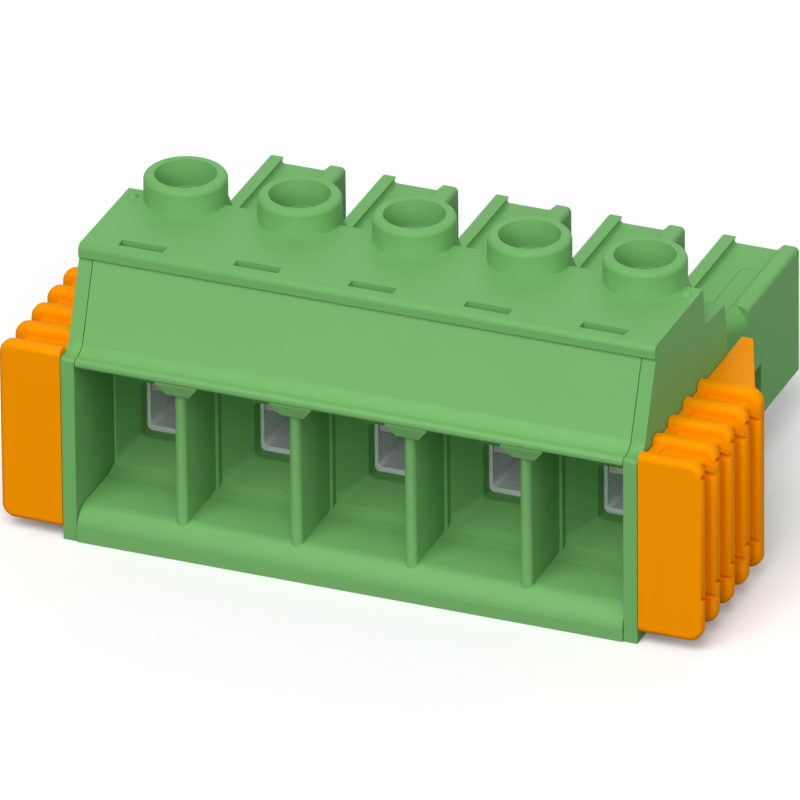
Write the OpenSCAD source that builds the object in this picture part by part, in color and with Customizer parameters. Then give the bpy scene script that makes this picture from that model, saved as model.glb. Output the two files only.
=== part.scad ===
// Pluggable terminal block: a plug housing with a lift-cage wire clamp in each
// pole, a front insert with the wire entries and a slide latch on each side.
// Lengths are in mm. X runs along the poles, Y from the wire side to the mating
// side and Z up. The origin is the middle of the foot of the bounding box.

/* [Poles] */
// number of poles
poles = 5; // [2:1:8]
// distance between two pole centres
pitch = 7.62; // [7.5:0.01:8]

/* [Housing] */
// depth of the housing at its foot, from the wire side to its back wall
body_d = 15.5; // [15.2:0.1:16.5]
// height of the top plate above the foot
plate_z = 19; // [18.8:0.1:20]
// thickness of the top plate
plate_t = 0.85; // [0.7:0.05:1]
// thickness of each end wall
end_wall = 0.9; // [0.8:0.05:1]
// height of the narrow ledge over the wire entries
ledge_z = 12.65; // [12.4:0.05:13]
// depth of that ledge
ledge_d = 1.2; // [1:0.1:1.5]
// front edge of the top plate, behind the wire side
plate_front = 3.1; // [2.8:0.1:3.2]
// back edge of the top plate, behind the wire side
plate_back = 11.3; // [10.8:0.1:11.6]
// height of the shoulder behind the screw towers
shoulder_z = 16.3; // [15.8:0.1:16.8]

/* [Screw access] */
// distance of the screw axes behind the wire side
screw_y = 11.33; // [11.25:0.01:11.4]
// outer diameter of each collar on the top plate
collar_d = 5.26; // [5:0.02:5.6]
// height of the collars above the foot
collar_z = 20.68; // [20.3:0.02:21.2]
// diameter of the mouth of each screw well
mouth_d = 3.9; // [3.86:0.02:4]
// width of each catch window in the top plate
window_w = 2.98; // [2.6:0.02:3.4]
// depth of each catch window in the top plate
window_d = 0.77; // [0.7:0.01:0.9]

/* [Wire entries] */
// thickness of the walls between the wire entries
partition_t = 0.75; // [0.6:0.05:1]
// height of the lip below the wire entries
lip_z = 2.2; // [2:0.05:2.3]
// width of the rim between each funnel and the walls beside it
funnel_rim = 0.2; // [0.1:0.02:0.3]
// half width of the window at the back of each funnel
funnel_back = 1.94; // [1.8:0.01:2]

/* [Clamps] */
// height of the middle of the current bars
bar_z = 6.74; // [6.7:0.02:6.9]
// thickness of the current bars
bar_t = 1; // [0.8:0.05:1.1]
// clear height below the bar in an open clamp
clamp_open = 2.48; // [2.2:0.02:2.6]
// wall thickness of the clamp cages
cage_wall = 0.8; // [0.7:0.05:0.85]
// thickness of the threaded top of the cages
cage_top = 1.4; // [1.2:0.05:1.5]
// length of the cages along the wire
cage_l = 4.4; // [4.1:0.1:4.5]
// thread diameter of the clamp screws
screw_d = 3; // [2.9:0.05:3.1]
// diameter of the screw heads
head_d = 3.55; // [3.45:0.01:3.57]
// height of the screw heads
head_h = 1.8; // [1.5:0.1:2.2]
// width of the driver slot in the screw heads
slot_w = 0.8; // [0.6:0.05:1]

/* [Contact chambers] */
// back end of the contact chambers, behind the wire side
chamber_back = 31.2; // [30.8:0.1:32]
// width of each contact chamber
chamber_w = 5.14; // [5:0.02:5.5]
// underside of the contact chambers above the foot
chamber_foot = 3.2; // [2.8:0.1:3.6]
// top of the coding rails on the chambers
rail_z = 12; // [11.9:0.05:12.2]
// height of the coding rails above the chamber roof
rail_h = 0.45; // [0.4:0.05:0.6]
// width of the coding rails
rail_w = 0.95; // [0.8:0.05:1.1]

/* [Latches] */
// reach of each latch beyond the end wall
latch_w = 4.2; // [4:0.05:4.6]
// underside of the latch grips above the foot
latch_foot = 0.75; // [0.6:0.05:0.9]
// top of the latch grips above the foot
latch_top = 13.07; // [12.8:0.05:13.4]
// distance between two grip ribs
rib_pitch = 2.54; // [2.4:0.02:2.7]
// thickness of the grip ribs
rib_t = 1; // [0.9:0.05:1.1]
// depth of the grooves between the grip ribs
groove = 0.7; // [0.5:0.05:0.8]
// thickness of the latch plates that lie on the end walls
latch_plate = 0.72; // [0.6:0.02:0.8]

/* [Hidden] */
$fn = 48;
overlap = 0.1;
// gap between parts that are clipped together
seam = 0.05;
// gap round parts that slide or turn
slide = 0.06;
// gap round a part that is pushed home
seat = 0.02;

half_w = poles * pitch / 2;
inner_w = half_w - end_wall;
lip_proud = 0.1;
middle_y = (chamber_back - lip_proud) / 2;
plate_under = plate_z - plate_t;
lean_y = plate_front + 0.2;
collar_rim = 0.35;
tower_r = collar_d / 2 + 0.3;
tower_cone = 0.8;
shaft_gap = 0.05;

rail_lean = 0.1;
rail_fillet = 0.17;
mark_d = 0.04;
recess_d = 0.75;
recess_r = 1.3;
recess_angle = 20;
recess_back = body_d + 6.7;

ribs = 5;
grip_l = (ribs - 1) * rib_pitch + rib_t;
rib_edge = 0.4;
rib_corner = 0.9;
grip_core = latch_w - groove;
pocket_slant = 24;

// how far a funnel reaches towards a partition and towards an end wall
mouth_in = (pitch - partition_t) / 2 - funnel_rim;
mouth_end = pitch / 2 - end_wall - funnel_rim;
// front of the panel behind the wire entries
panel_y = 6.03;
floor_r = 2.95;

// front of the block that holds the cages, and of its higher part
block_y = 9.25;
block_step = 8;
step_z = 11.35;

bar_top = bar_z + bar_t / 2;
bar_under = bar_z - bar_t / 2;
cage_floor = bar_under - clamp_open;
cage_foot = cage_floor - cage_wall;
cage_roof = bar_top + 0.1;
cage_z = cage_roof + cage_top;
cage_in = funnel_back - 0.2;
cage_out = cage_in + cage_wall;
cage_lift = clamp_open - 0.08;
cavity_w = cage_out + slide;
cavity_foot = cage_foot - slide;
cavity_top = cage_z + cage_lift + slide;
cavity_y = block_y + seam + cage_l + slide;
seat_z = cavity_top + 2.3;
step_bore_z = plate_z - 0.2;
bar_w = cage_in - slide;

tunnel_w = 1.5;
tunnel_h = 1.84;
root_y = cavity_y + 0.4;
root_l = 2;
tine_t = 0.45;
tine_h = 1.5;
tine_y = root_y + root_l;
tine_end = chamber_back - 3.4;
tine_root = 0.75;
tine_grip = 0.42;
spring_t = 0.22;
spring_start = 0.6;
spring_span = 4;
bar_shoulder = 1;
tine_tip = 1;
bracket_w = 1.38;
pin_half = 0.9;
mouth_half = 1.3;

latch_plate_top = latch_top - 0.55;
latch_back = body_d + 2.8;
slot_foot = 2.85;
slot_top = 4.65;
hollow_wall = 0.8;
web_t = 0.7;
arm_t = 0.6;
arm_foot = 4.9;
arm_top = 6.9;
arm_depth = half_w - ((poles - 1) * pitch / 2 + chamber_w / 2);
pocket_d = arm_t + 0.17;
pocket_l = 9.1;
pocket_back = body_d + pocket_l;
arm_back = recess_back - 0.2;

function pole_x(k) = (k - (poles + 1) / 2) * pitch;

// a flat shape (y, z) drawn out along x, centred on x = 0
module across(w) {
    rotate([90, 0, 90]) translate([0, 0, -w / 2]) linear_extrude(w) children();
}

// a flat shape (x, z) drawn out along y from one depth to another
module along(y0, y1) {
    translate([0, y1, 0]) rotate([90, 0, 0]) linear_extrude(y1 - y0) children();
}

// a flat shape (x, y) drawn up from one height to another
module upright(z0, z1) {
    translate([0, 0, z0]) linear_extrude(z1 - z0) children();
}

// what a round edge takes off a corner at the origin, solid to the right and below
module nick(r) {
    difference() {
        translate([-overlap, -r]) square(r + overlap);
        translate([r, -r]) circle(r);
    }
}

module round_box(x0, x1, y0, y1, r) {
    translate([x0 + r, y0]) square([x1 - x0 - 2 * r, y1 - y0]);
    translate([x0, y0 + r]) square([x1 - x0, y1 - y0 - 2 * r]);
    for (x = [x0 + r, x1 - r], y = [y0 + r, y1 - r]) translate([x, y]) circle(r);
}

module box(x0, x1, y0, y1, z0, z1) {
    translate([x0, y0, z0]) cube([x1 - x0, y1 - y0, z1 - z0]);
}

// concave fillet where the ledge meets the leaning panel
module crease() {
    rise = plate_under - ledge_z;
    lean = atan2(rise, lean_y - ledge_d);
    r = 1;
    reach = r * tan((180 - (180 - lean)) / 2);
    difference() {
        polygon([[ledge_d - reach, ledge_z], [ledge_d + overlap, ledge_z - overlap],
                 [ledge_d + reach * cos(lean), ledge_z + reach * sin(lean)]]);
        translate([ledge_d - reach, ledge_z + r]) circle(r);
    }
}

// outline of an end wall seen from the side
module wall_outline() {
    difference() {
        polygon([[0, 0], [0, ledge_z], [ledge_d, ledge_z], [lean_y, plate_under],
                 [plate_front, plate_under], [plate_front, plate_z],
                 [plate_back, plate_z], [plate_back + 0.3, shoulder_z + 0.1],
                 [body_d - 0.5, shoulder_z - 0.2], [body_d - 0.15, shoulder_z - 2.3],
                 [body_d, shoulder_z - 3.7], [body_d, 0]]);
        translate([plate_front, plate_z]) nick(0.4);
        translate([0, ledge_z]) nick(0.25);
    }
    crease();
}

// room in front of the block that the front insert fills
module insert_room() {
    polygon([[-1, -1], [block_y, -1], [block_y, step_z], [block_step, step_z],
             [block_step, plate_under], [-1, plate_under]]);
}

// outline of one contact chamber seen from the mating side
module chamber_outline() {
    half = chamber_w / 2;
    roof = rail_z - rail_h;
    // the square rail leans in above its foot, which runs into the roof with a fillet
    foot_a = rail_w - half - rail_lean;
    difference() {
        union() {
            translate([-half, chamber_foot]) square([chamber_w, roof - chamber_foot]);
            polygon([[-half, roof - overlap], [-half, rail_z], [foot_a + rail_lean, rail_z],
                     [foot_a, rail_z - 0.28], [foot_a, roof + rail_fillet],
                     [foot_a + rail_fillet, roof + rail_fillet],
                     [foot_a + rail_fillet, roof - overlap]]);
            polygon([[half - rail_w - rail_h - 0.05, roof], [half - rail_w - 0.05, rail_z],
                     [half, rail_z], [half, roof - 1], [half - rail_w - rail_h, roof - 1]]);
        }
        translate([-half, rail_z]) nick(0.2);
        mirror([1, 0]) translate([-half, rail_z]) nick(0.32);
        translate([foot_a + rail_fillet, roof + rail_fillet]) circle(rail_fillet);
        for (s = [0, 1]) mirror([s, 0]) mirror([0, 1]) translate([-half, -chamber_foot]) nick(0.3);
    }
}

// what is taken off the outer side of an end chamber, seen from the mating side
module recess_outline() {
    half = chamber_w / 2;
    difference() {
        translate([half - recess_d - recess_r, chamber_foot - 1])
            square([recess_d + recess_r + 1, rail_z - chamber_foot + 2]);
        translate([half - recess_d - recess_r - 1, chamber_foot - 2]) {
            square([recess_r + 1, rail_z - chamber_foot + 2 - recess_r]);
            square([1, rail_z - chamber_foot + 2]);
        }
        translate([half - recess_d - recess_r, rail_z - recess_r]) circle(recess_r);
    }
}

// recess in the outer side of an end chamber, which runs out to the back
module chamber_recess() {
    half = chamber_w / 2;
    intersection() {
        along(body_d - overlap, recess_back + 1) recess_outline();
        translate([half, recess_back, 0]) rotate([0, 0, -recess_angle])
            along(-recess_back, 0) translate([recess_d - half, 0]) recess_outline();
    }
}

module contact_chambers() {
    for (k = [1:poles]) translate([pole_x(k), 0, 0]) difference() {
        along(body_d - 1, chamber_back) chamber_outline();
        // shallow mark in the roof
        upright(rail_z - rail_h - mark_d, rail_z - rail_h + overlap) {
            translate([0.4, chamber_back - 3.4]) circle(0.5);
            translate([-0.1, body_d - 2]) square([1, chamber_back - 3.4 - body_d + 2]);
        }
        if (k == poles) chamber_recess();
        if (k == 1) mirror([1, 0, 0]) chamber_recess();
    }
}

// collar on the top plate and the cone-topped tower below its back half
module screw_tower() {
    translate([0, screw_y, 0]) rotate_extrude() {
        difference() {
            translate([0, plate_under]) square([collar_d / 2, collar_z - plate_under]);
            mirror([1, 0]) translate([-collar_d / 2, collar_z]) nick(collar_rim);
        }
        polygon([[0, shoulder_z - 1], [tower_r, shoulder_z - 1], [tower_r, plate_z - tower_cone],
                 [collar_d / 2, plate_z], [0, plate_z]]);
    }
}

// everything that is hollow in one pole of the housing
module pole_hollow() {
    box(-cavity_w, cavity_w, block_y - 1, cavity_y, cavity_foot, cavity_top);
    translate([0, screw_y, 0]) {
        upright(step_bore_z, collar_z + 1) circle(d = mouth_d);
        upright(seat_z, step_bore_z + overlap) circle(d = head_d + 0.15);
        upright(cavity_top - overlap, seat_z + overlap) circle(d = screw_d + 0.2);
    }
    box(-window_w / 2, window_w / 2, plate_front + 0.85, plate_front + 0.85 + window_d,
        plate_under - overlap, plate_z + 1);
    box(-tunnel_w, tunnel_w, cavity_y - overlap, chamber_back - 0.8,
        bar_z - tunnel_h, bar_z + tunnel_h);
    pin_mouth();
    // relief in the foot
    box(-pitch / 2 + 0.7, pitch / 2 - 0.7, block_y + 1, body_d - 1, -1, cavity_foot - 0.8);
}

// square hole for the mating pin, wider at its mouth
module pin_mouth() {
    y0 = chamber_back - 1;
    box(-pin_half, pin_half, y0, chamber_back + 1, bar_z - pin_half, bar_z + pin_half);
    intersection() {
        upright(bar_z - 3, bar_z + 3)
            polygon([[-pin_half, y0 + 0.3], [-mouth_half, chamber_back + 0.01],
                     [mouth_half, chamber_back + 0.01], [pin_half, y0 + 0.3]]);
        translate([0, 0, bar_z]) across(6)
            polygon([[y0 + 0.3, -pin_half], [chamber_back + 0.01, -mouth_half],
                     [chamber_back + 0.01, mouth_half], [y0 + 0.3, pin_half]]);
    }
}

// rail with a wide head that guides a latch
module latch_rail() {
    box(half_w - overlap, half_w + seam * 2 + latch_plate, 1.3, grip_l - 0.2,
        slot_foot + seam, slot_top - seam);
    box(half_w + seam * 2 + latch_plate, half_w + latch_plate + 1.1, 1.3, grip_l - 0.2,
        slot_foot - 0.55, slot_top + 0.55);
}

module outer_housing() {
    color("#5c9f55") {
        difference() {
            union() {
                across(2 * half_w) wall_outline();
                contact_chambers();
                for (k = [1:poles]) translate([pole_x(k), 0, 0]) screw_tower();
            }
            across(2 * inner_w) insert_room();
            for (k = [1:poles]) translate([pole_x(k), 0, 0]) pole_hollow();
            for (s = [0, 1]) mirror([s, 0, 0])
                box(half_w - arm_depth - pocket_d, half_w - arm_depth + 1,
                    body_d, pocket_back, arm_foot - 0.3, arm_top + 0.15);
        }
        for (s = [0, 1]) mirror([s, 0, 0]) {
            latch_rail();
            translate([half_w - 0.7, plate_back - 1, plate_z - 0.15]) nub();
        }
    }
}

// small round mark near each end of the top plate
module nub() {
    r = 0.4;
    rotate_extrude() intersection() {
        circle(r);
        square(r);
    }
}

// outline of the front insert seen from the side
module insert_outline() {
    difference() {
        union() {
            translate([-lip_proud, 0]) square([block_y - seam + lip_proud, lip_z - 1.4]);
            translate([1.3, lip_z - 1.4]) circle(1.4);
            translate([1.3, 0]) square([block_y - seam - 1.3, lip_z]);
            // the floor curves up to the panel
            difference() {
                translate([panel_y - 1.43, lip_z - overlap]) square([1.43, 0.37 + overlap]);
                translate([panel_y - 1.43, lip_z + floor_r]) circle(floor_r, $fn = 4 * $fn);
            }
            translate([panel_y, lip_z - overlap])
                square([block_y - seam - panel_y, step_z - seam - lip_z + overlap]);
            difference() {
                polygon([[0, ledge_z - 0.6], [0, ledge_z], [ledge_d, ledge_z],
                         [lean_y, plate_under], [lean_y, plate_under - seam],
                         [block_step - seam, plate_under - seam],
                         [block_step - seam, step_z - seam - overlap],
                         [panel_y, step_z - seam - overlap],
                         [panel_y, ledge_z - 1.8], [3, ledge_z - 0.6]]);
                translate([0, ledge_z]) nick(0.25);
                mirror([0, 1]) translate([0, 0.6 - ledge_z]) nick(0.25);
            }
            crease();
        }
        translate([-1, -1]) square([block_y + 3, 1]);
        translate([-1, plate_under - seam]) square([block_y + 3, 1]);
    }
}

// wall between two wire entries, with a bracket under the ledge
module partition() {
    upright(lip_z - 0.3, ledge_z - 0.32) {
        translate([0, 0.6 + partition_t / 2]) circle(d = partition_t);
        translate([-partition_t / 2, 0.6 + partition_t / 2])
            square([partition_t, 6 - partition_t / 2]);
        translate([-partition_t / 2 - funnel_rim, 5.47])
            square([partition_t + 2 * funnel_rim, 0.8]);
    }
    intersection() {
        along(0, 3) for (s = [0, 1]) mirror([s, 0])
            polygon([[-overlap, ledge_z - 0.5], [bracket_w, ledge_z - 0.5],
                     [bracket_w, ledge_z - 0.65], [bracket_w - 0.62, ledge_z - 1.43],
                     [-overlap, ledge_z - 1.43]]);
        across(2 * bracket_w + 1)
            polygon([[0.04, ledge_z - 0.4], [0.1, ledge_z - 0.7], [0.4, ledge_z - 1.5],
                     [2.6, ledge_z - 1.5], [2.6, ledge_z - 0.4]]);
    }
}

// tapered hole from the wire entry to the clamp window, as far to each side as told
module funnel(left, right) {
    mouth_y = panel_y - 0.03;
    throat_y = mouth_y + 2.2;
    hull() {
        along(mouth_y - 0.01, mouth_y)
            round_box(-left, right, lip_z + 0.36, ledge_z - 2.2, 0.7);
        along(throat_y, throat_y + 0.01) throat_outline();
    }
    along(throat_y, block_y + 1) throat_outline();
}

// the clamp window seen from the wire side
module throat_outline() {
    round_box(-funnel_back, funnel_back, cage_floor - 0.3, bar_top + 0.06, 0.35);
}

module front_insert() {
    w = inner_w - seam;
    color("#62a75a") {
        difference() {
            across(2 * w) insert_outline();
            for (k = [1:poles]) translate([pole_x(k), 0, 0]) {
                funnel(k == 1 ? mouth_end : mouth_in, k == poles ? mouth_end : mouth_in);
                // hollow behind the leaning panel
                across(pitch - 1.2)
                    polygon([[ledge_d + 1.35, ledge_z + 0.4],
                             [lean_y + 1.05, plate_under - 0.9],
                             [block_y + 1, plate_under - 0.9],
                             [block_y + 1, ledge_z + 0.4]]);
                // relief in the foot
                box(-pitch / 2 + 0.7, pitch / 2 - 0.7, 1.4, block_y - 1, -1, lip_z - 0.8);
            }
        }
        for (k = [1:poles - 1]) translate([pole_x(k) + pitch / 2, 0, 0]) partition();
        for (k = [1:poles]) translate([pole_x(k), 0, 0])
            box(-window_w / 2 + 0.08, window_w / 2 - 0.08, plate_front + 0.93,
                plate_front + 0.77 + window_d, plate_under - 0.3, plate_z - 0.4);
    }
}

module clamp_cage() {
    y0 = block_y + seam;
    color("#b9bcc0") difference() {
        along(y0, y0 + cage_l) difference() {
            round_box(-cage_out, cage_out, cage_foot, cage_z, 0.4);
            round_box(-cage_in, cage_in, cage_floor, cage_roof, 0.3);
        }
        translate([0, screw_y, 0]) upright(cage_roof - 1, cage_z + 1)
            circle(d = screw_d + 2 * shaft_gap);
    }
}

module clamp_screw() {
    tip = bar_top + seat;
    top = seat_z + seat + head_h;
    color("#a7abb0") translate([0, screw_y, 0]) difference() {
        rotate_extrude() polygon([[0, tip], [screw_d / 2 - 0.4, tip],
                                  [screw_d / 2, tip + 0.4], [screw_d / 2, seat_z + seat],
                                  [head_d / 2, seat_z + seat], [head_d / 2, top - 0.15],
                                  [head_d / 2 - 0.15, top], [0, top]]);
        box(-slot_w / 2, slot_w / 2, -head_d, head_d, top - 0.9, top + 1);
    }
}

// plan of one contact tine, moved out or thickened for the spring on it
module tine_plan(gap, t) {
    x = tine_root + gap;
    g = tine_grip + gap;
    polygon([[x, tine_y - overlap], [x, tine_y + 2], [g, tine_end - 1.8],
             [g, tine_end - 1], [g + 0.28, tine_end],
             [g + 0.28 + t, tine_end], [g + t, tine_end - 1],
             [g + t, tine_end - 1.8], [x + t, tine_y + 2], [x + t, tine_y - overlap]]);
}

module current_bar() {
    color("#c7b98a") {
        box(-bar_w, bar_w, block_y + seam, cavity_y - slide, bar_under, bar_top);
        box(-tunnel_w + 0.1, tunnel_w - 0.1, block_y + bar_shoulder, root_y + overlap,
            bar_under, bar_top);
        box(-tunnel_w + seat, tunnel_w - seat, root_y, tine_y,
            bar_z - tunnel_h + seat, bar_z + tunnel_h - seat);
        for (s = [0, 1]) mirror([s, 0, 0]) upright(bar_z - tine_h, bar_z + tine_h)
            tine_plan(0, tine_t);
    }
}

module contact_spring() {
    y0 = tine_y + spring_start;
    y1 = tine_end - tine_tip;
    out = tine_root + tine_t + seat;
    color("#9aa0a6") {
        box(-out - spring_t, out + spring_t, y0, tine_y + spring_span,
            bar_z + tine_h + seat, bar_z + tine_h + seat + spring_t);
        for (s = [0, 1]) mirror([s, 0, 0]) intersection() {
            upright(bar_z - tine_h + 0.1, bar_z + tine_h + seat + spring_t)
                tine_plan(tine_t + seat, spring_t);
            box(0, tunnel_w, y0, y1, 0, plate_z);
        }
    }
}

// one grip rib: a slice with round edges on its top, outer side and foot
module grip_rib() {
    w0 = half_w + seam;
    w1 = half_w + latch_w;
    translate([(w0 + w1 - rib_corner) / 2, 0, 0]) across(w1 - rib_corner - w0)
        rib_slice(latch_foot, latch_top);
    upright(latch_foot + rib_corner, latch_top - rib_corner) difference() {
        translate([w0, 0]) square([w1 - w0, rib_t]);
        translate([w1, 0]) mirror([1, 0]) mirror([0, 1]) nick(rib_edge);
        translate([w1, rib_t]) mirror([1, 0]) nick(rib_edge);
    }
    for (s = [0, 1])
        translate([w1 - rib_corner, 0, s == 0 ? latch_foot + rib_corner : latch_top - rib_corner])
            rotate([-90, 0, 0]) rotate([0, 0, s == 0 ? 0 : -90])
                rotate_extrude(angle = 90) difference() {
                    square([rib_corner, rib_t]);
                    translate([rib_corner, 0]) mirror([1, 0]) mirror([0, 1]) nick(rib_edge);
                    translate([rib_corner, rib_t]) mirror([1, 0]) nick(rib_edge);
                }
}

module rib_slice(z0, z1) {
    difference() {
        translate([0, z0]) square([rib_t, z1 - z0]);
        translate([0, z1]) nick(rib_edge);
        translate([rib_t, z1]) mirror([1, 0]) nick(rib_edge);
        mirror([0, 1]) translate([0, -z0]) nick(rib_edge);
        mirror([0, 1]) translate([rib_t, -z0]) mirror([1, 0]) nick(rib_edge);
    }
}

// small slanted pocket across a groove of the grip, thinner towards the outside
module grip_pocket() {
    side = half_w + latch_w;
    floor_x = half_w + grip_core;
    rotate([-pocket_slant, 0, 0]) along(-1.75, 1.05)
        polygon([[floor_x - 0.3, -0.32], [side + 0.25, 0], [side + 0.25, 0.1],
                 [floor_x - 0.3, 0.3]]);
}

module latch_right() {
    w0 = half_w + seam;
    x_in = half_w - arm_depth - pocket_d + seam;
    color("#f09000") difference() {
        union() {
            along(0.3, grip_l - 0.3)
                difference() {
                    translate([w0, latch_foot + groove])
                        square([grip_core - seam, latch_top - latch_foot - 2 * groove]);
                    translate([half_w + grip_core, latch_top - groove])
                        mirror([1, 0]) nick(0.5);
                    mirror([0, 1]) translate([half_w + grip_core, -latch_foot - groove])
                        mirror([1, 0]) nick(0.5);
                }
            for (i = [0:ribs - 1]) translate([0, i * rib_pitch, 0]) grip_rib();
            // plate on the end wall, reaching back to the hook
            translate([w0 + latch_plate / 2, 0, 0]) across(latch_plate) difference() {
                polygon([[0.5, latch_plate_top], [latch_back - 0.32, latch_plate_top],
                         [latch_back, latch_plate_top - 3.6], [latch_back, slot_top],
                         [0.5, slot_top]]);
                translate([latch_back - 0.3, latch_plate_top]) mirror([1, 0]) nick(0.2);
            }
            box(x_in, w0 + overlap, latch_back - web_t, latch_back, arm_foot, arm_top);
            upright(arm_foot, arm_top)
                polygon([[x_in, latch_back - web_t], [x_in, arm_back],
                         [x_in + arm_t, arm_back], [x_in + arm_t + 0.55, arm_back - 0.9],
                         [x_in + arm_t + 0.55, arm_back - 1.2],
                         [x_in + arm_t, arm_back - 1.2], [x_in + arm_t, latch_back - web_t]]);
        }
        // hollow grip, open to the back, with a slot for the rail
        box(w0 + latch_plate, half_w + grip_core - hollow_wall, rib_t, grip_l + 1,
            latch_foot + groove + hollow_wall, latch_top - groove - hollow_wall);
        box(half_w - 1, w0 + latch_plate + overlap, rib_t + 0.2, grip_l + 1,
            slot_foot, slot_top);
        for (i = [0:ribs - 2], z = [latch_foot + 2.33, latch_top - 1.57])
            translate([0, i * rib_pitch + (rib_t + rib_pitch) / 2, z]) grip_pocket();
    }
}

module latch_left() {
    mirror([1, 0, 0]) latch_right();
}

module placed(x = 0) {
    translate([x, -middle_y, 0]) children();
}

placed() outer_housing();
placed() front_insert();
placed() latch_left();
placed() latch_right();
for (k = [1:poles]) {
    placed(pole_x(k)) clamp_cage();
    placed(pole_x(k)) clamp_screw();
    placed(pole_x(k)) current_bar();
    placed(pole_x(k)) contact_spring();
}
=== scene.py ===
import math
import bmesh
import bpy
from mathutils import Matrix, Vector


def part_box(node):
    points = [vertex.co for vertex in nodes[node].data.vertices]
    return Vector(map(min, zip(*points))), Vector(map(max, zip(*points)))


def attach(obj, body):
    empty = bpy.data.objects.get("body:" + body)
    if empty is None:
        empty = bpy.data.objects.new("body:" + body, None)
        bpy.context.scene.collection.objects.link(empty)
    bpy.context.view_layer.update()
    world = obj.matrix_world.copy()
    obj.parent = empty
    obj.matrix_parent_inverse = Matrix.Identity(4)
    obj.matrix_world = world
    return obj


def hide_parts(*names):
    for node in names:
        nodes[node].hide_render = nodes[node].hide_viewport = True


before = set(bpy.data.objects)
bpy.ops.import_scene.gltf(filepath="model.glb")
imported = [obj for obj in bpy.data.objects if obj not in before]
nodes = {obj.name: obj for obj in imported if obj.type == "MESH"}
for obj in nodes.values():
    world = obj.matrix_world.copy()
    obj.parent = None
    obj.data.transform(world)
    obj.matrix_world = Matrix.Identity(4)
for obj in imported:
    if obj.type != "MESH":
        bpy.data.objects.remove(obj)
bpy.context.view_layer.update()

# Lengths are in metres. X runs along the poles, Y from the wire side to the
# mating side and Z up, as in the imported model.
MM = 0.001
POLES = [1, 2, 3, 4, 5]
# Faces that turn by more than this meet in an edge
SHARP = math.radians(35)


# Node trees

class Field:
    """What a node gives. Plain arithmetic on it adds Math nodes."""

    def __init__(self, tree, socket):
        self.tree = tree
        self.socket = socket

    def __add__(self, other):
        return self.tree.maths("ADD", self, other)

    def __radd__(self, other):
        return self.tree.maths("ADD", other, self)

    def __sub__(self, other):
        return self.tree.maths("SUBTRACT", self, other)

    def __rsub__(self, other):
        return self.tree.maths("SUBTRACT", other, self)

    def __mul__(self, other):
        return self.tree.maths("MULTIPLY", self, other)

    def __rmul__(self, other):
        return self.tree.maths("MULTIPLY", other, self)

    def __truediv__(self, other):
        return self.tree.maths("DIVIDE", self, other)

    def __rtruediv__(self, other):
        return self.tree.maths("DIVIDE", other, self)


class NodeTree:
    """A node tree that is written as calls. Each call adds one node and returns what it gives."""

    def __init__(self, group):
        self.group = group

    def add(self, kind, settings=None, values=None, out=0):
        """Adds a node. Its settings are set before the values or links of its sockets."""
        node = self.group.nodes.new(kind)
        for name, setting in (settings or {}).items():
            setattr(node, name, setting)
        for name, value in (values or {}).items():
            self.put(node.inputs[name], value)
        return Field(self, node.outputs[out]) if node.outputs else None

    def put(self, socket, value):
        """Gives a socket a plain value, a link, or a list of links for one that joins them."""
        for one in value if isinstance(value, list) else [value]:
            if isinstance(one, Field):
                self.group.links.new(one.socket, socket)
            else:
                socket.default_value = one

    def maths(self, operation, first, second):
        return self.add("ShaderNodeMath", {"operation": operation}, {0: first, 1: second})


class Finish(NodeTree):
    """One material: a Principled shader, its constants and the fields that feed it."""

    def __init__(self, name, colour, **constants):
        self.material = bpy.data.materials.new(name)
        self.material.use_nodes = True
        super().__init__(self.material.node_tree)
        self.shader = self.group.nodes["Principled BSDF"]
        self.feed("Base Color", colour)
        for socket, value in constants.items():
            self.feed(socket.replace("_", " "), value)

    def feed(self, socket, value):
        self.put(self.shader.inputs[socket], value)

    def noise(self, cells, detail, stretch=(1, 1, 1)):
        """Noise with so many cells to the metre. A stretch under 1 draws it out along that axis."""
        place = self.add("ShaderNodeTexCoord", out="Object")
        place = self.add("ShaderNodeMapping", None, {"Vector": place, "Scale": stretch})
        return self.add("ShaderNodeTexNoise", None, {"Vector": place, "Scale": cells, "Detail": detail})

    def mixed(self, share, colour_a, colour_b):
        """Two colours mixed. A Mix node takes colours at its sockets 6 and 7, and gives one at 2."""
        sockets = {"Factor": share, 6: colour_a, 7: colour_b}
        return self.add("ShaderNodeMix", {"data_type": "RGBA"}, sockets, out=2)

    def relief(self, height, depth, strength):
        bump = {"Height": height, "Distance": depth, "Strength": strength}
        self.feed("Normal", self.add("ShaderNodeBump", None, bump))


class GrownShape(NodeTree):
    """A Geometry Nodes tree whose inputs are a base mesh, named sizes and a material."""

    def __init__(self, name, sizes):
        super().__init__(bpy.data.node_groups.new(name, "GeometryNodeTree"))
        kinds = {"Geometry": "Geometry", **{size: "Float" for size in sizes}, "Material": "Material"}
        for title, kind in kinds.items():
            self.group.interface.new_socket(title, in_out="INPUT", socket_type=f"NodeSocket{kind}")
        self.group.interface.new_socket("Geometry", in_out="OUTPUT", socket_type="NodeSocketGeometry")

    def given(self, name):
        return self.add("NodeGroupInput", out=name)

    def spot(self, x, y, z=0.0):
        return self.add("ShaderNodeCombineXYZ", None, {"X": x, "Y": y, "Z": z})

    def lifted(self, geometry, height):
        return self.add("GeometryNodeTransform", None,
                        {"Geometry": geometry, "Translation": self.spot(0.0, 0.0, height)})

    def close(self, parts):
        """Joins the parts and the base mesh, and gives them the material."""
        shape = self.add("GeometryNodeJoinGeometry", None, {"Geometry": [*parts, self.given("Geometry")]})
        shape = self.add("GeometryNodeRealizeInstances", None, {"Geometry": shape})
        shape = self.add("GeometryNodeSetMaterial", None,
                         {"Geometry": shape, "Material": self.given("Material")})
        self.add("NodeGroupOutput", None, {"Geometry": shape})
        return self.group


# Finishes

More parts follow.
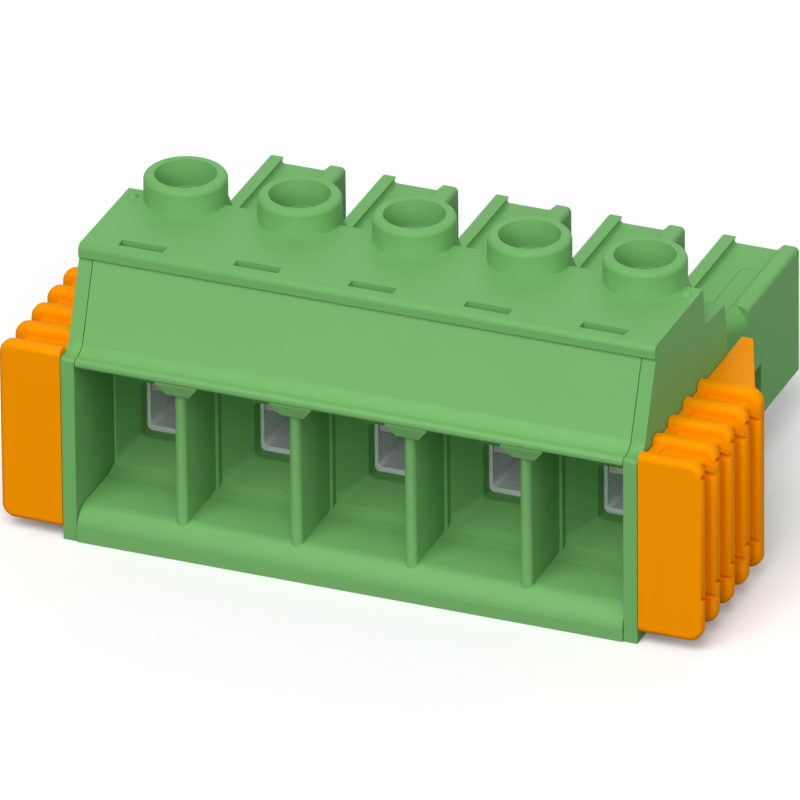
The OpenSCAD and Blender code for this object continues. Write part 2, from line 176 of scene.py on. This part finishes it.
def tone(red, green, blue):
    """A display colour, 0 to 255, as a shader's linear colour, by the sRGB curve."""
    def linear(value):
        value /= 255
        return value / 12.92 if value <= 0.04045 else ((value + 0.055) / 1.055) ** 2.4
    return (linear(red), linear(green), linear(blue), 1.0)


def grey(level):
    """A linear grey."""
    return (level, level, level, 1.0)


def moulded(name, colour, shade, gloss, mirror):
    """Injection-moulded plastic: a fine spark-eroded grain, and a faint waviness and flow."""
    grain_cells, flow_cells, sink_cells = 5200, 140, 260
    flow_share, grain_gloss, grain_height = 0.6, 0.12, 0.25
    depth, strength = 0.012 * MM, 0.6
    finish = Finish(name, colour, IOR=1.46, Specular_IOR_Level=mirror)
    grain = finish.noise(grain_cells, detail=3)
    flow = finish.noise(flow_cells, detail=2)
    sink = finish.noise(sink_cells, detail=1)
    finish.feed("Base Color", finish.mixed(flow * flow_share, colour, shade))
    finish.feed("Roughness", gloss + grain * grain_gloss)
    finish.relief(grain * grain_height + sink, depth, strength)
    return finish.material


def plated(name, colour, shade, stretch, roughness, metallic):
    """Plated steel with drawing marks along one direction and a cloudy bloom."""
    mark_cells, bloom_cells = 2600, 700
    contrast, onset = 1.4, 0.2
    mark_gloss, bloom_gloss = 0.16, 0.08
    depth, strength = 0.004 * MM, 0.5
    finish = Finish(name, colour, Metallic=metallic)
    marks = finish.noise(mark_cells, detail=2, stretch=stretch)
    bloom = finish.noise(bloom_cells, detail=2)
    finish.feed("Base Color", finish.mixed(marks * contrast - onset, colour, shade))
    finish.feed("Roughness", roughness + marks * mark_gloss + bloom * bloom_gloss)
    finish.relief(marks, depth, strength)
    return finish.material


# The directions in which the metal parts are drawn, rolled or turned
CAGE_GRAIN = (0.1, 1, 1)
SCREW_GRAIN = (1, 1, 0.2)
BAR_GRAIN = (1, 0.08, 1)
SPRING_GRAIN = (0.1, 1, 1)

HOUSING_GREEN = moulded("housing green", tone(116, 179, 105), tone(113, 175, 102), gloss=0.46, mirror=0.06)
INSERT_GREEN = moulded("insert green", tone(121, 182, 109), tone(118, 178, 106), gloss=0.46, mirror=0.06)
LATCH_ORANGE = moulded("latch orange", tone(255, 156, 0), tone(252, 150, 0), gloss=0.44, mirror=0.02)
CAGE_STEEL = plated("cage steel", tone(246, 249, 253), tone(224, 227, 232), CAGE_GRAIN,
                    roughness=0.5, metallic=0.1)
SCREW_STEEL = plated("screw steel", tone(192, 196, 198), tone(176, 180, 182), SCREW_GRAIN,
                     roughness=0.3, metallic=0.9)
BAR_TIN = plated("bar tin", tone(200, 202, 200), tone(188, 190, 188), BAR_GRAIN,
                 roughness=0.36, metallic=0.8)
SPRING_STEEL = plated("spring steel", tone(164, 167, 172), tone(152, 155, 160), SPRING_GRAIN,
                      roughness=0.32, metallic=1.0)


# Pieces

def placed(name, data):
    """A new object in the scene, for a mesh, a lamp or a camera."""
    thing = bpy.data.objects.new(name, data)
    bpy.context.collection.objects.link(thing)
    return thing


def closed_mesh(name, shape):
    """A closed shape as a mesh with its faces pointing outwards."""
    bmesh.ops.recalc_face_normals(shape, faces=shape.faces)
    mesh = bpy.data.meshes.new(name)
    shape.to_mesh(mesh)
    shape.free()
    return mesh


def soften(thing, width, segments, turn):
    """Rounds the edges at which the faces turn by more than an angle."""
    bevel = thing.modifiers.new("soft edges", "BEVEL")
    bevel.width = width
    bevel.segments = segments
    bevel.limit_method = "ANGLE"
    bevel.angle_limit = turn
    bevel.harden_normals = True


# Finish on the frame

def dress(name, material, edge=0.0):
    """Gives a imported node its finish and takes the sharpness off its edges."""
    solid = nodes[name]
    for slot in solid.material_slots:
        slot.material = material
    if not solid.material_slots:
        solid.data.materials.append(material)
    if edge:
        weld = solid.modifiers.new("join faces", "WELD")
        weld.merge_threshold = 0.002 * MM
        soften(solid, edge, segments=2, turn=SHARP)


dress("outer_housing", HOUSING_GREEN, edge=0.07 * MM)
dress("front_insert", INSERT_GREEN, edge=0.07 * MM)
for side in ("left", "right"):
    dress(f"latch_{side}", LATCH_ORANGE, edge=0.05 * MM)
for pole in POLES:
    dress(f"clamp_cage_{pole}", CAGE_STEEL, edge=0.05 * MM)
    dress(f"clamp_screw_{pole}", SCREW_STEEL)
    dress(f"current_bar_{pole}", BAR_TIN, edge=0.04 * MM)
    dress(f"contact_spring_{pole}", SPRING_STEEL)


# Clamping screws

def threaded_shank():
    """A screw below its head: a shank, a right-handed helical ridge round it and a pointed end."""
    # In pitches: where the thread starts and runs out, and half the width of its crest and its foot
    start, run_out, half_tip, half_foot = 0.8, 0.8, 0.07, 0.42
    # In thread depths: how far the ridge reaches down into the shank
    sunk = 1.15
    sides = 40
    tree = GrownShape("threaded shank", ["Crest Radius", "Thread Depth", "Thread Pitch", "Length"])
    crest, depth = tree.given("Crest Radius"), tree.given("Thread Depth")
    pitch, length = tree.given("Thread Pitch"), tree.given("Length")
    root = crest - depth
    run = length - pitch * (start + run_out)
    helix = tree.add("GeometryNodeCurveSpiral", None,
                     {"Resolution": sides, "Rotations": run / pitch, "Start Radius": crest,
                      "End Radius": crest, "Height": run, "Reverse": True})
    helix = tree.lifted(helix, pitch * start)
    helix = tree.add("GeometryNodeSetCurveNormal", {"mode": "Z_UP"}, {"Curve": helix})
    inner = depth * -sunk
    ridge = tree.add("GeometryNodeCurvePrimitiveQuadrilateral", {"mode": "POINTS"},
                     {"Point 1": tree.spot(0.0, pitch * -half_tip),
                      "Point 2": tree.spot(0.0, pitch * half_tip),
                      "Point 3": tree.spot(inner, pitch * half_foot),
                      "Point 4": tree.spot(inner, pitch * -half_foot)})
    thread = tree.add("GeometryNodeCurveToMesh", None,
                      {"Curve": helix, "Profile Curve": ridge, "Fill Caps": True})
    shank = tree.add("GeometryNodeMeshCylinder", None,
                     {"Vertices": sides, "Radius": root, "Depth": length - pitch})
    shank = tree.lifted(shank, (length + pitch) * 0.5)
    point = tree.add("GeometryNodeMeshCone", None,
                     {"Vertices": sides, "Radius Top": root, "Radius Bottom": root - depth, "Depth": pitch})
    return tree.close([thread, shank, point])


def slotted_head(radius, foot, height, slot_width, slot_depth, chamfer):
    """A cheese head whose slot runs along Y, as one closed mesh that starts at the height of its foot."""
    shape = bmesh.new()
    steps = 20
    top = foot + height

    def rim(sign, shrink, z):
        """The edge of one half of the head, from the slot round to the slot."""
        reach = radius - shrink
        cut = math.asin(slot_width / 2 / reach)
        angles = [-math.pi / 2 + cut + (math.pi - 2 * cut) * i / steps for i in range(steps + 1)]
        return [shape.verts.new((sign * reach * math.cos(a), reach * math.sin(a), z)) for a in angles]

    halves = []
    for sign in (1, -1):
        rims = [rim(sign, 0, foot), rim(sign, 0, top - slot_depth), rim(sign, 0, top - chamfer),
                rim(sign, chamfer, top)]
        for low, high in zip(rims, rims[1:]):
            for i in range(steps):
                shape.faces.new((low[i], low[i + 1], high[i + 1], high[i]))
        shape.faces.new(rims[-1])
        shape.faces.new([edge[0] for edge in rims[1:]] + [edge[-1] for edge in reversed(rims[1:])])
        halves.append(rims)
    right_foot, right_floor = halves[0][:2]
    left_foot, left_floor = halves[1][:2]
    shape.faces.new((right_floor[0], right_floor[-1], left_floor[-1], left_floor[0]))
    for end in (0, -1):
        shape.faces.new((right_foot[end], right_floor[end], left_floor[end], left_foot[end]))
    shape.faces.new(right_foot + left_foot[::-1])
    return closed_mesh("slotted head", shape)


def grown(name, base, group, sizes, material):
    """What a Geometry Nodes tree makes of a base mesh, as a plain mesh."""
    holder = placed(name, base)
    modifier = holder.modifiers.new(name, "NODES")
    modifier.node_group = group
    given = {**sizes, "Material": material}
    for item in group.interface.items_tree:
        if item.in_out == "INPUT" and item.name in given:
            modifier[item.identifier] = given[item.name]
    made = holder.evaluated_get(bpy.context.evaluated_depsgraph_get())
    mesh = bpy.data.meshes.new_from_object(made)
    mesh.name = name
    bpy.data.objects.remove(holder)
    return mesh


def clamping_screws():
    """Five cheese-head screws with a real thread, which take the place of the plain ones."""
    head_height, chamfer = 1.8 * MM, 0.15 * MM
    slot_width, slot_depth = 0.8 * MM, 0.9 * MM
    crest, depth, pitch = 1.5 * MM, 0.28 * MM, 0.5 * MM
    low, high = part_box("clamp_screw_1")
    width = high[0] - low[0]
    length = high[2] - low[2] - head_height
    head = slotted_head(width / 2, length, head_height, slot_width, slot_depth, chamfer)
    sizes = {"Crest Radius": crest, "Thread Depth": depth, "Thread Pitch": pitch, "Length": length}
    pattern = grown("screw pattern", head, threaded_shank(), sizes, SCREW_STEEL)
    for pole in POLES:
        low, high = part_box(f"clamp_screw_{pole}")
        axis = ((low[0] + high[0]) / 2, (low[1] + high[1]) / 2, low[2])
        mesh = pattern.copy()
        mesh.transform(Matrix.Translation(axis))
        mesh.set_sharp_from_angle(angle=SHARP)
        screw = placed(f"threaded_screw_{pole}", mesh)
        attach(screw, f"screw_{pole}")
        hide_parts(f"clamp_screw_{pole}")


clamping_screws()


# Latch webs

def latch_webs():
    """A flat web behind each grip, which tapers from the last rib to the back of the latch plate."""
    # Out from the end wall: the latch's outer face, the grip's core and the plate's outer face
    reach, core, plate = 4.2 * MM, 3.46 * MM, 0.77 * MM
    # Back from the front of the latch: the last rib and the end of the web
    rib, back = 11.16 * MM, 17.75 * MM
    # Down from the top of the latch, how thick the web is and how deep it is rooted in the latch
    drop, thickness, root = 0.56 * MM, 0.8 * MM, 0.3 * MM
    # The slanted side turns by just over 20 degrees from the core, and that edge is rounded too
    edge, turn = 0.08 * MM, math.radians(20)
    plan = [(plate - root, rib - root), (core, rib - root), (core, rib), (plate + edge, back),
            (plate - root, back)]
    for side, sign in (("left", -1), ("right", 1)):
        low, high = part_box(f"latch_{side}")
        outer = low[0] if sign < 0 else high[0]
        wall = outer - sign * reach
        top = high[2] - drop
        shape = bmesh.new()
        below, above = [[shape.verts.new((wall + sign * x, low[1] + y, z)) for x, y in plan]
                        for z in (top - thickness, top)]
        shape.faces.new(below)
        shape.faces.new(above)
        for i in range(len(plan)):
            shape.faces.new((below[i - 1], below[i], above[i], above[i - 1]))
        mesh = closed_mesh("latch web", shape)
        mesh.materials.append(LATCH_ORANGE)
        mesh.set_sharp_from_angle(angle=SHARP)
        web = placed(f"latch_web_{side}", mesh)
        soften(web, edge, segments=3, turn=turn)
        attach(web, f"latch_{side}_slide")


latch_webs()


# Floor and light

def looked_at(tree):
    """1 for a ray from the camera, a reflection or a pane, and 0 for a ray that only lights."""
    seen = tree.add("ShaderNodeLightPath", out="Is Camera Ray")
    for ray in ("Is Glossy Ray", "Is Transmission Ray"):
        seen = tree.maths("MAXIMUM", seen, tree.add("ShaderNodeLightPath", out=ray))
    return seen


def pale_floor():
    """A floor that looks white, and throws back little light on the object."""
    reach, sunk = 3.0, 0.03 * MM
    lit, white, glow = 0.2, 0.98, 0.11
    corners = [(-reach, -reach), (reach, -reach), (reach, reach), (-reach, reach)]
    mesh = bpy.data.meshes.new("floor")
    mesh.from_pydata([(x, y, -sunk) for x, y in corners], [], [(0, 1, 2, 3)])
    floor = placed("floor", mesh)
    finish = Finish("pale floor", grey(1.0), Roughness=0.9, Specular_IOR_Level=0.0, Emission_Strength=1.0)
    seen = looked_at(finish)
    finish.feed("Base Color", finish.mixed(seen, grey(lit), grey(white)))
    finish.feed("Emission Color", finish.mixed(seen, grey(0.0), grey(glow)))
    mesh.materials.append(finish.material)


def studio_world(level):
    """An even pale room that gives little light, and looks white to the camera and in reflections."""
    world = bpy.data.worlds.new("studio")
    world.use_nodes = True
    room = NodeTree(world.node_tree)
    background = world.node_tree.nodes["Background"]
    room.put(background.inputs["Color"], grey(1.0))
    room.put(background.inputs["Strength"], looked_at(room) * (1 - level) + level)
    bpy.context.scene.world = world


def soft_lamp(name, place, size, power):
    """A round lamp that aims at the middle of the part."""
    aim = Vector((0, 0, 10 * MM))
    lamp = bpy.data.lights.new(name, "AREA")
    lamp.shape = "DISK"
    lamp.size = size
    lamp.energy = power
    holder = placed(name, lamp)
    holder.location = place
    holder.rotation_euler = (Vector(place) - aim).to_track_quat("Z", "Y").to_euler()


pale_floor()
studio_world(level=0.29)
soft_lamp("key", (0.0, -0.69, 0.92), size=1.0, power=10.3)
soft_lamp("front", (0.30, -1.05, 0.36), size=0.3, power=1.5)
soft_lamp("side", (0.98, -0.30, 0.36), size=0.7, power=1.9)
soft_lamp("back", (-0.20, 1.02, 0.40), size=1.0, power=2.9)


# Camera

def photo_camera():
    """The photograph's viewpoint, from a fit of the pole pitch and the body's edges."""
    azimuth, elevation, roll = math.radians(22.05), math.radians(27.91), math.radians(-0.537)
    focal_px, distance = 19061, 1174.2 * MM
    shift_right, shift_up = 3.1478 * MM, 11.7604 * MM
    fit_origin_y = -15.55 * MM
    image_px, sensor = 800, 36.0
    back = Vector((math.sin(azimuth) * math.cos(elevation),
                   -math.cos(azimuth) * math.cos(elevation), math.sin(elevation)))
    right = Vector((math.cos(azimuth), math.sin(azimuth), 0))
    up = back.cross(right)
    right, up = (right * math.cos(roll) + up * math.sin(roll),
                 up * math.cos(roll) - right * math.sin(roll))
    place = right * shift_right + up * shift_up + back * distance + Vector((0, fit_origin_y, 0))
    data = bpy.data.cameras.new("photo camera")
    data.sensor_width = sensor
    data.lens = focal_px / image_px * sensor
    data.clip_start, data.clip_end = 0.01, 50
    camera = placed("photo camera", data)
    camera.matrix_world = Matrix(((right.x, up.x, back.x, place.x), (right.y, up.y, back.y, place.y),
                                  (right.z, up.z, back.z, place.z), (0, 0, 0, 1)))
    bpy.context.scene.camera = camera


photo_camera()
bpy.context.scene.view_settings.view_transform = "Standard"
